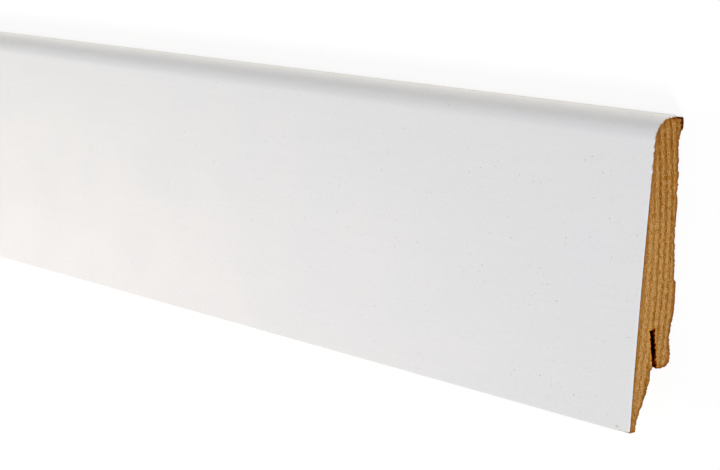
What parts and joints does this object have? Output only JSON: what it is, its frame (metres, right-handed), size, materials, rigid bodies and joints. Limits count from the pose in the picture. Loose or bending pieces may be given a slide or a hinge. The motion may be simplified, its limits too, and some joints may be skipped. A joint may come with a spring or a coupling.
{
  "type": "skirting board length",
  "caption": "Length of foil-wrapped wood skirting board with a rounded nose, a wall lip, a bearing rib, a clip slot and a tapered toe, lying on its back.",
  "frame": {"origin": "middle of the footprint, on the plane that the back rests on, which is the wall plane", "axes": "+X along the board, +Y up the board from toe to nose, +Z out from the wall to the white face"},
  "size_m": [2.4, 0.08, 0.016],
  "materials": {
    "core_wood": "raw, moulded lengthwise and sawn across, with ring lines and torn fibres",
    "white_foil": "satin white decor foil"
  },
  "bodies": {
    "root": {"wood_core": "core_wood", "decor_foil": "white_foil"}
  },
  "joints": []
}
